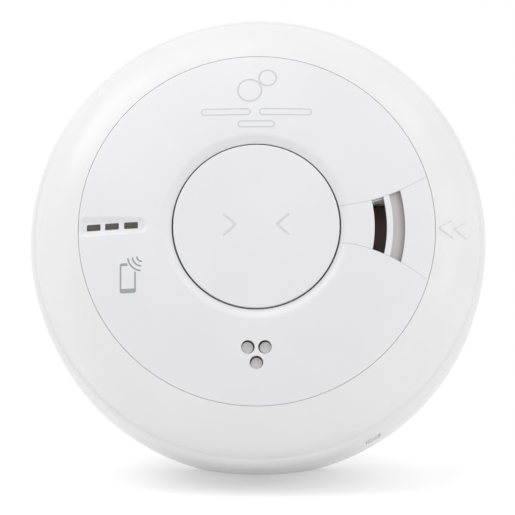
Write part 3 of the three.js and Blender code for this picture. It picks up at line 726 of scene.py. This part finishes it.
def sounder_grille():
    """Fan-shaped panel with two curved slots, on webs that reach down to the horn."""
    panel = face_shell("grille_panel")
    combine(panel, [fan_prism(-FAN_GAP / 2)], "INTERSECT")
    combine(panel, [slot_cutter(*radii) for radii in SLOTS])
    webs = []
    for r0, r1 in ((34.9, SLOTS[0][0]), (SLOTS[0][1], SLOTS[1][0]), (SLOTS[1][1], 46.7)):
        webs.append(grille_ring(r0, r1, True))
    webs.append(combine(grille_ring(32.0, 41.3, True), [fan_prism(-0.37)]))
    webs.append(combine(grille_ring(40.9, 47.0, False), [fan_prism(-0.9)]))
    combine(panel, webs, "UNION")
    return finish_piece(panel, "head", "face_white", FACE, "sounder_grille")


def test_button():
    """Crowned cap with a stem, and three legs with hooks."""
    crown = bezier((0, DEPTH), (9, DEPTH), (18, 46.45), (BUTTON_R - 0.5, BUTTON_EDGE_Z), 90)
    profile = [(0, 45.1), (10, 44.9), (22.6, 43.7), (23.6, 40.3), (BUTTON_R, 40.3, 0.2),
               (BUTTON_R, BUTTON_EDGE_Z - 0.12, 0.4), *crown[::-1]]
    button = turned("button_cap", rounded_profile(profile), around(360), chevron_shift)
    additions = [prism("stem", circle(0, 0, 2.6, 32), 32.2, 46)]
    for degrees in (30, 150, 270):
        turn = math.radians(degrees)
        additions.append(box("leg", 20.4, 21.9, -2.5, 2.5, 35.2, 44.5, turn))
        additions.append(box("hook", 21.0, 23.4, -2.5, 2.5, 35.2, 36.6, turn))
    combine(button, additions, "UNION")
    return finish_piece(button, "button", "face_white", FACE, "test_button")


def led_windows():
    for i, x in enumerate(LED_X):
        top = float(face_height(-x)) - CHANNEL_DEPTH
        tilt = math.atan2(float(face_height(-x + 1) - face_height(-x - 1)), 2)
        window = prism("window_pane", rounded_rect(0, 0, WINDOW_W, WINDOW_H, 0.22), -2.2, 0.12)
        bevel(window, 0.14, 3)
        window.name = f"window_pane_{i + 1}"
        window.data.transform(Matrix.Translation((x, LED_Y, top)) @ Matrix.Rotation(tilt, 4, "Y"))
        finish_piece(window, "head", "window_smoke", SMOKE, f"led_window_{i + 1}", angle=50)


def sensor_screen():
    """Filter sheet with a pad that stands in each vent."""
    base = prism("filter_pads", circle(0, -39.5, 5.6, 64), 39, 40)
    pads = []
    for (x, y), drop in zip(VENTS, PAD_DROPS):
        pad_x = x + math.copysign(PAD_OFFSET, x) if x else 0.0
        pad_y = y - drop
        top = float(face_height(math.hypot(x, y) + VENT_R)) - PAD_DEPTH
        pad = prism("pad", circle(pad_x, pad_y, PAD_R, 48), 39.5, top)
        pads.append(bevel(pad, 0.2, 3))
    combine(base, pads, "UNION")
    return finish_piece(base, "head", "filter_grey", FILTER, "sensor_screen")


def sounder_horn():
    """Cup over the piezo disc, open under the inner slot, with a ramp under the outer one."""
    inner_r = HORN_R - 1.3
    cup = turned("horn_body", rounded_profile([
        (0, 35.6), (inner_r, 35.6, 0.4), (inner_r, 26.6, 0.2), (HORN_R, 26.6, 0.3), (HORN_R, 37, 0.8),
        (0, 37)]), around(96))
    cup.data.transform(Matrix.Translation((HORN_X, 0, 0)))
    inner, outer = SLOTS[1][0] + 0.02, SLOTS[1][1] - 0.02
    ramp = [(inner, 36.5), (outer, 36.5), (outer, float(face_height(outer)) - RAMP_DEPTHS[1]),
            (inner, float(face_height(inner)) - RAMP_DEPTHS[0])]
    deflector = turned("deflector", ramp)
    reach = combine(fan_prism(-FAN_GAP, 40.3), [fan_prism(-1.0, 30, 40.4)], "UNION")
    combine(deflector, [reach], "INTERSECT")
    collar = turned("collar", [(34.9, 36.5), (40.9, 36.5), (40.9, 38.45), (34.9, 38.45)])
    combine(collar, [fan_prism(-0.1)], "INTERSECT")
    combine(collar, [fan_prism(-0.9)])
    combine(cup, [deflector, collar], "UNION")
    low, high = HORN_MOUTH
    mouth = turned("mouth", [(low, 30), (high, 30), (high, ABOVE), (low, ABOVE)])
    combine(mouth, [box("limit", 30, 45, -MOUTH_HALF, MOUTH_HALF, 29, ABOVE + 1)], "INTERSECT")
    combine(cup, [mouth])
    return finish_piece(cup, "head", "horn_grey", HORN_GREY, "sounder_horn")


def release_catch():
    """Sprung lever with a barb over the plate's rib and a tab in the release slot."""
    half = CATCH_WIDTH / 2
    catch = box("catch_lever", CATCH_PIVOT_R, CATCH_END_R, -half, half, CATCH_Z, CATCH_Z + CATCH_T)
    barb = box("barb", 60.8, 63.6, -3.0, 3.0, PLATE_DEPTH + 0.1, CATCH_Z + 0.5)
    lip = box("lip", CATCH_END_R - 1.5, CATCH_END_R, -half, half, 12.1, 16.9)
    tab = box("tab", CATCH_END_R - 1, OUTER_R - 0.05, -2.2, 2.2, *TAB_Z)
    combine(catch, [barb, lip, tab], "UNION")
    bevel(catch, 0.2, 3)
    catch.data.transform(Matrix.Rotation(CATCH_ANGLE, 4, "Z"))
    return finish_piece(catch, "catch", "housing_white", HOUSING, "release_catch")


# ------------------------------------------------------------------ printed marks


def strip(points, width):
    """Outline of a round-ended stroke along a path of (x, y) points."""
    points = np.array(points, float)
    steps = np.gradient(points, axis=0)
    normals = np.stack([-steps[:, 1], steps[:, 0]], 1)
    normals /= np.linalg.norm(normals, axis=1)[:, None]
    half = width / 2
    left, right = points + normals * half, points - normals * half
    ends = []
    for centre, normal in ((points[-1], normals[-1]), (points[0], -normals[0])):
        start = math.atan2(normal[1], normal[0])
        ends.append([on_circle(half, start - math.pi * k / 6, *centre) for k in range(1, 6)])
    return [*map(tuple, left), *ends[0], *map(tuple, right[::-1]), *ends[1]]


def arc_path(x, y, radius, start, end, count=14):
    turns = [math.radians(start + (end - start) * k / count) for k in range(count + 1)]
    return [on_circle(radius, a, x, y) for a in turns]


INK_PROUD, INK_SUNK = 0.03, 0.25        # the skin of ink, above and below the face


def printed(name, outlines, holes, material):
    """Ink laid on the face: the outlines, cut from a skin that follows the surface."""
    skin = [(r, z + INK_PROUD) for r, z in FACE_LINE[::2]]
    under = [(r, z - INK_SUNK) for r, z in FACE_LINE[::-2]]
    sheet = turned(name, skin + under, around(180))
    stencil = [prism("mark", outline, 38, 50) for outline in outlines]
    first, rest = stencil[0], stencil[1:]
    if rest:
        combine(first, rest, "UNION")
    if holes:
        combine(first, [prism("hole", hole, 37, 51) for hole in holes])
    combine(sheet, [first], "INTERSECT")
    return finish_piece(sheet, "head", "horn_grey", material)


def marks():
    """A small telephone with three waves, and plain bars and rings."""
    x, y = -39.3, -15.7
    device = rounded_rect(x, y, 5.0, 9.2, 0.7)
    screen = rounded_rect(x, y + 0.25, 4.0, 7.0, 0.3)
    source = (-34.9, -9.2)
    waves = [strip(arc_path(*source, r, 188, 262), 0.5) for r in (1.6, 3.0, 4.4)]
    clear_space = circle(*source, 5.1, 64)
    printed("mark_device", [device], [screen, clear_space], INK)
    printed("mark_waves", waves, [], INK)
    words = ((-9.4, 36.0, 15.2), (8.9, 36.0, 16.2), (0, 32.0, 11.4))
    bars = [rounded_rect(x, y, width, 2.3, 1.1) for x, y, width in words]
    hollows = [rounded_rect(x, y, width - 0.7, 1.6, 0.75) for x, y, width in words]
    printed("mark_bars", bars, hollows, PALE_INK)
    places = ((-2.1, 43.2, 3.9), (3.4, 47.4, 2.9))
    rings = [circle(x, y, radius, 64) for x, y, radius in places]
    hollows = [circle(x, y, radius - 0.5, 64) for x, y, radius in places]
    printed("mark_rings", rings, hollows, PALE_INK)


# ------------------------------------------------------------------ mounting side


def mounting_plate():
    """Shallow dish with eight pockets in its wall side, cable entry, screw seats and rails."""
    skirt_r = PLATE_R - PLATE_SKIRT
    plate = turned("plate_body", rounded_profile([
        (0, 0), (PLATE_R, 0, 0.6), (PLATE_R, PLATE_DEPTH, 0.4), (skirt_r, PLATE_DEPTH, 0.3),
        (skirt_r, PLATE_FLOOR, 0.5), (0, PLATE_FLOOR)]))
    pockets = []
    for i in range(8):
        mid = math.radians(22.5 + 45 * i)
        half = math.radians(19)
        outer = [on_circle(65.5, a) for a in np.linspace(mid - half, mid + half, 24)]
        inner = [on_circle(49.5, a) for a in np.linspace(mid + half, mid - half, 20)]
        pockets.append(bevel(prism("pocket", outer + inner, -1, 0.9), 0.35, 3))
    holes = [bevel(prism("entry", rounded_rect(28, 0, 24, 30, 3), -2, 5), 0.1, 1)]
    seats = []
    for y in (-SEAT_Y, SEAT_Y):
        holes.append(prism("slot", rounded_rect(0, y, *SCREW_SLOT), -2, 5))
        seats.append(prism("seat", rounded_rect(0, y, 18, 9, 4.49), 1, PLATE_FLOOR + 0.6))
    holes += [prism("hole", circle(x, 0, 2.2), -2, 5) for x in (-54, 59)]
    combine(plate, [bevel(seat, 0.2, 2) for seat in seats], "UNION")
    combine(plate, [*pockets, *holes])
    combine(plate, plate_upstands(), "UNION")
    return finish_piece(plate, "base", "plate_white", PLATE_WHITE_AND_BOUNCE, "mounting_plate")


def plate_upstands():
    """Rails with lips, clamp posts, the catch's rib and the wall around the terminal block."""
    parts = []
    for side in (-1, 1):
        web = sorted((side * 39, side * 41))
        lip = sorted((side * 36, side * 41))
        parts.append(box("web", -44, 29, *web, 1, 8.2))
        parts += [box("lip", start - 1, start + 15, *lip, 6.4, 8.2) for start in (-24, 12)]
    for y in CLAMP_YS:
        post = prism("post", circle(CLAMP_X, y, 3.4, 40), 1, 6.4)
        parts.append(combine(post, [prism("pilot", circle(CLAMP_X, y, 1.4, 24), 3, 8)]))
    x, y = on_circle(62.5, CATCH_ANGLE)
    parts.append(box("rib", x - 5.6, x - 3.8, y - 3, y + 3, 1, PLATE_DEPTH - GAP))
    wall = prism("wall", rounded_rect(0, 0, 30, 37, 2), 1, 5)
    parts.append(combine(wall, [prism("inside", rounded_rect(0, 0, 27, 34, 1), PLATE_FLOOR, 6)]))
    return parts


def rear_housing():
    """Back of the head: pocket over the terminal block, runners, catch lugs and screw seats."""
    floor_top = HEAD_BACK + 2
    rim = OUTER_R - WALL - GAP
    shell = turned("rear_shell", rounded_profile([
        (0, HEAD_BACK), (rim, HEAD_BACK, 0.4), (rim, floor_top, 0.3), (0, floor_top)]))
    x0, x1, y, top = POCKET["x0"], POCKET["x1"], POCKET["y"], POCKET["top"]
    wall = 1.4
    pocket = box("pocket", x0 - wall, x1 + wall, -y - wall, y + wall, HEAD_BACK, top + wall)
    additions = [bevel(pocket, 0.8, 3)]
    for degrees in (62, 118, 205, 335):
        place = on_circle(49, math.radians(degrees))
        additions.append(prism("post", circle(*place, 2.8, 32), HEAD_BACK + 1, 23.7))
    for side in (-1, 1):
        stem = sorted((side * 33, side * 35.5))
        foot = sorted((side * 33, side * 38.5))
        for start in (-24, 12):
            additions.append(box("stem", start, start + 14, *stem, 4, HEAD_BACK + 1))
            additions.append(box("foot", start, start + 14, *foot, 4, 5.9))
        lug = side * (CATCH_WIDTH / 2 + GAP + 0.9)
        sizes = (46.6, 51, lug - 0.9, lug + 0.9, HEAD_BACK + 1, HEAD_BACK + 6)
        additions.append(box("lug", *sizes, CATCH_ANGLE))
    combine(shell, additions, "UNION")
    cutters = [bevel(box("inside", x0, x1, -y, y, HEAD_BACK - 3, top), 0.6, 3)]
    for degrees in SCREW_ANGLES:
        place = on_circle(SCREW_RING_R, math.radians(degrees))
        cutters.append(prism("hole", circle(*place, 1.8, 24), HEAD_BACK - 1, floor_top + 1))
        cutters.append(prism("seat", circle(*place, 3.2, 32), HEAD_BACK - 0.5, HEAD_BACK + 1.1))
    cutters += [prism("pin", circle(-22, way, 1.3, 20), 12, 26) for way in WAYS]
    cutters.append(box("catch", 59, rim + 1, -4, 4, HEAD_BACK - 1, floor_top + 0.5, CATCH_ANGLE))
    combine(shell, cutters)
    return finish_piece(shell, "head", "housing_white", HOUSING, "rear_housing")


# ------------------------------------------------------------------ inner pieces


def slotted_screw(name, body, node, x, y, tip, head, top, shank_r, head_r):
    """Cheese-head screw with a turned head and a slot; top may lie below head."""
    out = 1 if top > head else -1
    profile = rounded_profile([(0, tip), (shank_r, tip, 0.3), (shank_r, head), (head_r, head, 0.1),
                               (head_r, top, 0.3), (0, top)])
    screw = turned(name, profile, around(48))
    z0, z1 = sorted((top - out * 0.8, top + out))
    combine(screw, [box("slot", -head_r - 1, head_r + 1, -0.4, 0.4, z0, z1)])
    screw.data.transform(Matrix.Translation((x, y, 0)))
    return finish_piece(screw, body, "steel", STEEL, node)


def screws():
    """Screws of the terminal block, of the cable clamp and between the two housings."""
    heights = (11.2, 14.6, 16.6)
    for i, y in enumerate(WAYS, 1):
        slotted_screw(f"clamp_screw_{i}", "base", f"terminal_screw_{i}", 0, y, *heights, 1.6, 2.4)
    heights = (3.5, 9.2, 11)
    for i, y in enumerate(CLAMP_YS, 1):
        node = f"cable_clamp_screw_{i}"
        slotted_screw(f"cord_bar_screw_{i}", "base", node, CLAMP_X, y, *heights, 1.1, 2.5)
    heights = (25.5, HEAD_BACK + 0.9, HEAD_BACK)
    for i, degrees in enumerate(SCREW_ANGLES, 1):
        x, y = on_circle(SCREW_RING_R, math.radians(degrees))
        slotted_screw(f"shell_screw_{i}", "head", f"housing_screw_{i}", x, y, *heights, 1.4, 2.8)


SPRING_R, SPRING_WIRE, SPRING_Z, SPRING_COILS = 6.0, 0.4, (26.4, 44.2), 5


def button_spring():
    """Coil under the button."""
    radius, wire, (low, high), coils = SPRING_R, SPRING_WIRE, SPRING_Z, SPRING_COILS
    steps, sides = 28 * coils, 8
    points = []
    for i in range(steps + 1):
        turn = 2 * math.pi * coils * i / steps
        z = low + (high - low) * i / steps
        for k in range(sides):
            a = 2 * math.pi * k / sides
            place = on_circle(radius + wire * math.cos(a), turn)
            points.append((*place, z + wire * math.sin(a)))
    faces = [tuple(range(sides)), tuple(steps * sides + k for k in range(sides - 1, -1, -1))]
    for i in range(steps):
        for k in range(sides):
            a, b = i * sides + k, i * sides + (k + 1) % sides
            faces.append((a, a + sides, b + sides, b))
    coil = mesh_object("button_coil", points, faces)
    finish_piece(coil, "head", "steel", STEEL, "button_spring", angle=60)
    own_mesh(coil)


SOFT_EDGE = 0.12
SHARP = math.radians(40)  # edges at least this sharp are rounded off, and stay crisp in the shading


def softened_copies():
    """Every other CAD node is shown by a copy of its mesh with rounded edges."""
    hidden = {n for n, obj in frame["nodes"].items() if obj.hide_render}
    body_of = {n: body for body, names in frame["record"]["behaviour"]["bodies"].items() for n in names}
    slots = {row["node"]: row["material_slot"] for row in frame["record"]["subparts"]}
    for node, source in sorted(frame["nodes"].items()):
        if node in hidden:
            continue
        copy = bpy.data.objects.new(f"{node}_softened", source.data.copy())
        bpy.context.scene.collection.objects.link(copy)
        mesh = bmesh.new()
        mesh.from_mesh(copy.data)
        bmesh.ops.remove_doubles(mesh, verts=mesh.verts, dist=1e-7)
        bmesh.ops.dissolve_limit(mesh, angle_limit=math.radians(1), verts=mesh.verts, edges=mesh.edges)
        mesh.to_mesh(copy.data)
        mesh.free()
        bevel(copy, SOFT_EDGE * MM, 2, 40)
        copy.data.shade_smooth()
        copy.data.set_sharp_from_angle(angle=SHARP)
        copy.data.materials.clear()
        copy.data.materials.append(SLOT_MATERIALS[slots[node]])
        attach(copy, body_of[node])
        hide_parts(node)


# ------------------------------------------------------------------ studio, in metres

FLOOR_TILTS = (math.radians(20), math.radians(33))      # in front of the alarm and behind it
FLOOR_FRONT, FLOOR_BACK, FLOOR_HALF = 2.2, 0.018, 1.6
FLOOR_NEAR = 0.1                # how far in front of the wall side the floor's rows lie close
FLOOR_TURN, FLOOR_BEND = -0.011, 0.006      # where the two slopes meet, and how softly
FLOOR_CLEARANCE = 0.0004        # between the floor and the alarm
FLOOR_COLOUR = (0.74, 0.74, 0.74)
FLOOR_GLOW_AND_PAINTED_LIGHT = (0.205, 0.4)      # glow under the alarm, and a brighter painted light behind it that washes out its shadow there
FLOOR_FADE = (0.0, 0.015)       # where the glow starts to rise and where it ends


def floor_material():
    """White sweep with an even glow that rises behind the alarm as painted light, washing out its
    shadow there so that the floor's back edge doesn't show.
    """
    made = Nodes("floor_white_painted_light").set(Roughness=0.9, Emission_Color=(1, 1, 1, 1))
    made.tint(made.ramp(made.noise(3), 0, 1), FLOOR_COLOUR, 0.995, 1)
    place = made.new("ShaderNodeSeparateXYZ")
    made.link(made.place, place.inputs["Vector"])
    # painted light: the glow rises from under the alarm to behind it, lightening the alarm's shadow on
    # the floor there
    glow_and_painted_light = made.ramp(place.outputs["Y"], *FLOOR_GLOW_AND_PAINTED_LIGHT, *FLOOR_FADE)
    made.link(glow_and_painted_light, made.shader.inputs["Emission Strength"])
    return made.material


def floor():
    """Pale sweep that falls away gently towards the camera and rises behind the alarm, so the
    low viewpoint still looks down on it."""
    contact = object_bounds()[0][2] - FLOOR_CLEARANCE
    near = np.linspace(FLOOR_BACK, -FLOOR_NEAR, 53)
    rows = [*near, *np.linspace(-FLOOR_NEAR, -FLOOR_FRONT, 12)[1:]]
    front, back = (math.tan(tilt) for tilt in FLOOR_TILTS)
    points, faces = [], []
    for y in rows:
        past = y - FLOOR_TURN
        z = contact + front * y + (back - front) * (past + math.hypot(past, FLOOR_BEND)) / 2
        points += [(-FLOOR_HALF, y, z), (FLOOR_HALF, y, z)]
    for i in range(len(rows) - 1):
        faces.append((2 * i, 2 * i + 2, 2 * i + 3, 2 * i + 1))
    mesh = bpy.data.meshes.new("floor")
    mesh.from_pydata(points, [], faces)
    mesh.update()
    plane = bpy.data.objects.new("floor", mesh)
    bpy.context.scene.collection.objects.link(plane)
    if mesh.polygons[0].normal.z < 0:
        mesh.flip_normals()
    mesh.shade_smooth()
    mesh.materials.append(floor_material())
    plane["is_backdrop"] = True


def world():
    """Even white surround."""
    studio = bpy.data.worlds.new("studio")
    studio.use_nodes = True
    background = studio.node_tree.nodes["Background"]
    background.inputs["Color"].default_value = (1, 1, 1, 1)
    background.inputs["Strength"].default_value = 1.0
    bpy.context.scene.world = studio


LAMPS_AIM = Vector((0, -0.02, 0))
LAMPS = (                       # name, place, width and height, watts
    ("key", (-0.3, -0.5, 1.2), (0.9, 0.6), 2.2),
    ("upper_left", (-0.9, -0.4, 0.9), (0.6, 0.6), 3.9),
    ("upper_right", (0.7, -0.5, 0.9), (0.6, 0.6), 1.4),
    ("fill", (1.2, -0.7, 0.2), (0.8, 0.8), 2.3),
    ("left_fill", (-1.2, -0.25, 0.1), (0.6, 0.6), 0.55),
)


def lights():
    """Three soft lamps above and a fill on each side."""
    for name, place, size, power in LAMPS:
        data = bpy.data.lights.new(name, "AREA")
        data.shape = "RECTANGLE"
        data.size, data.size_y = size
        data.energy = power
        light = bpy.data.objects.new(name, data)
        light.location = place
        light.rotation_euler = (LAMPS_AIM - Vector(place)).to_track_quat("-Z", "Y").to_euler()
        bpy.context.scene.collection.objects.link(light)


CAMERA_DISTANCE = 1.6
CAMERA_DROP = math.radians(11.885)      # how far below the alarm's axis the camera stands
CAMERA_SIDE = math.radians(1.191)       # and how far to the right of it
CAMERA_SHIFT = (-0.0037, -0.002)
SENSOR_WIDTH = 36.0             # millimetres, as the focal length
FOCAL_LENGTH = 356.04


def camera():
    data = bpy.data.cameras.new("camera")
    data.sensor_width = SENSOR_WIDTH
    data.lens = FOCAL_LENGTH
    data.shift_x, data.shift_y = CAMERA_SHIFT
    view = bpy.data.objects.new("camera", data)
    direction = Vector((math.sin(CAMERA_SIDE) * math.cos(CAMERA_DROP),
                        -math.cos(CAMERA_SIDE) * math.cos(CAMERA_DROP), -math.sin(CAMERA_DROP)))
    view.location = direction * CAMERA_DISTANCE
    view.rotation_euler = (-direction).to_track_quat("-Z", "Y").to_euler()
    bpy.context.scene.collection.objects.link(view)
    bpy.context.scene.camera = view


camera()
front_housing()
face_plate()
sounder_grille()
test_button()
led_windows()
sensor_screen()
sounder_horn()
release_catch()
marks()
mounting_plate()
rear_housing()
screws()
button_spring()
softened_copies()
floor()
world()
lights()
bpy.context.scene.view_settings.view_transform = "Standard"
